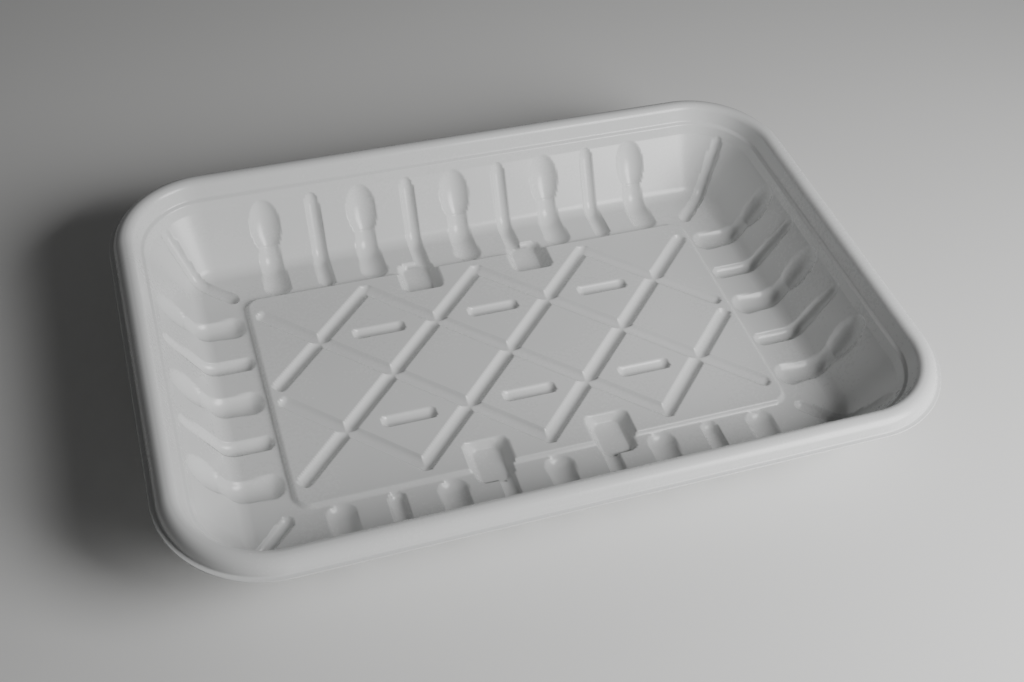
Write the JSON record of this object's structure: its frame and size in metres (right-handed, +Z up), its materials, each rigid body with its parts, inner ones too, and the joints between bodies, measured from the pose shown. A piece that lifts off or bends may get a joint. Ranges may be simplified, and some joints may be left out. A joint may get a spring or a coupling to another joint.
{
  "type": "fruit packing tray",
  "caption": "Shallow rectangular tray of thin moulded plastic with a rounded rim, fluted sloping walls and a diamond lattice of grooves in the floor.",
  "frame": {"origin": "middle of the tray, on the plane that its four pockets stand on", "axes": "+Z up out of the open side, +X along the long side, +Y along the short side"},
  "size_m": [0.23, 0.1606, 0.031],
  "materials": {
    "white_plastic": "satin-gloss vacuum-formed polypropylene, opaque white"
  },
  "bodies": {
    "root": {"tray": "white_plastic"}
  },
  "joints": []
}
